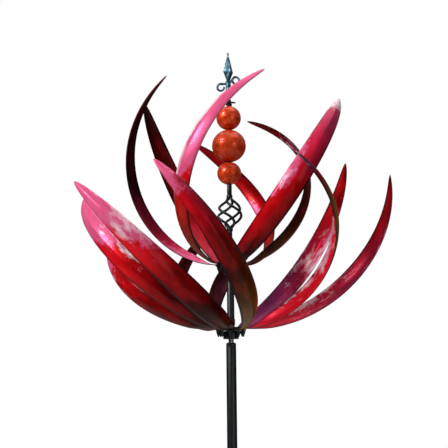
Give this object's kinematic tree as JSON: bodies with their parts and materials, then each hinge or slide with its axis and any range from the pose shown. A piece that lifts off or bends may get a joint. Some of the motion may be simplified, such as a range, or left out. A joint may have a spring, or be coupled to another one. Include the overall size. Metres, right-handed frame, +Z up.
{
  "type": "kinetic wind sculpture",
  "caption": "Garden wind sculpture: two free-spinning rotors of long curved red blades on a black staked mast, with a finial of balls, twisted cage and spear point.",
  "frame": {"origin": "on the mast's axis at ground level, at the flat underside of the step plate", "axes": "+Z up the mast; +X along the step plate's long side"},
  "size_m": [0.606, 0.645, 2.03],
  "materials": {
    "candy_red_enamel": "gloss",
    "black_powder_coat": "satin gloss",
    "orange_glaze": "mottled gloss",
    "patinated_iron": "satin",
    "bright_steel": "brushed"
  },
  "bodies": {
    "mast": {"ground_stake": "black_powder_coat", "wing_bolt": "bright_steel", "pole_lower": "black_powder_coat", "pole_coupler_1": "black_powder_coat", "pole_middle": "black_powder_coat", "pole_coupler_2": "black_powder_coat", "pole_upper": "black_powder_coat", "pole_head": "black_powder_coat", "spindle": "bright_steel", "spacer_sleeve": "black_powder_coat", "retaining_nut": "black_powder_coat", "stem_lower": "black_powder_coat", "stem_upper": "black_powder_coat", "cage": "black_powder_coat", "ball_lower": "orange_glaze", "ball_middle": "orange_glaze", "ball_upper": "orange_glaze", "leaf_collar": "black_powder_coat", "scrolls": "patinated_iron", "spear": "patinated_iron"},
    "lower_rotor": {"lower_hub_plate": "black_powder_coat", "lower_bearing_cup": "black_powder_coat", "lower_bearing_1": "bright_steel", "lower_bearing_2": "bright_steel", "lower_blade_1": "candy_red_enamel", "lower_blade_2": "candy_red_enamel", "lower_blade_3": "candy_red_enamel", "lower_blade_4": "candy_red_enamel", "lower_blade_5": "candy_red_enamel", "lower_blade_6": "candy_red_enamel", "lower_blade_7": "candy_red_enamel", "lower_blade_8": "candy_red_enamel", "lower_blade_9": "candy_red_enamel", "lower_bolt_1": "black_powder_coat", "lower_bolt_2": "black_powder_coat", "lower_bolt_3": "black_powder_coat", "lower_bolt_4": "black_powder_coat", "lower_bolt_5": "black_powder_coat", "lower_bolt_6": "black_powder_coat", "lower_bolt_7": "black_powder_coat", "lower_bolt_8": "black_powder_coat", "lower_bolt_9": "black_powder_coat"},
    "upper_rotor": {"upper_hub_plate": "black_powder_coat", "upper_bearing_cup": "black_powder_coat", "upper_bearing_1": "bright_steel", "upper_bearing_2": "bright_steel", "upper_blade_1": "candy_red_enamel", "upper_blade_2": "candy_red_enamel", "upper_blade_3": "candy_red_enamel", "upper_blade_4": "candy_red_enamel", "upper_blade_5": "candy_red_enamel", "upper_blade_6": "candy_red_enamel", "upper_bolt_1": "black_powder_coat", "upper_bolt_2": "black_powder_coat", "upper_bolt_3": "black_powder_coat", "upper_bolt_4": "black_powder_coat", "upper_bolt_5": "black_powder_coat", "upper_bolt_6": "black_powder_coat"}
  },
  "joints": [
    {"name": "lower_spin", "type": "hinge", "parent": "mast", "child": "lower_rotor", "pos_m": [0, 0, 1.245], "axis": [0, 0, 1], "continuous": true},
    {"name": "upper_spin", "type": "hinge", "parent": "mast", "child": "upper_rotor", "pos_m": [0, 0, 1.3682], "axis": [0, 0, 1], "continuous": true}
  ]
}
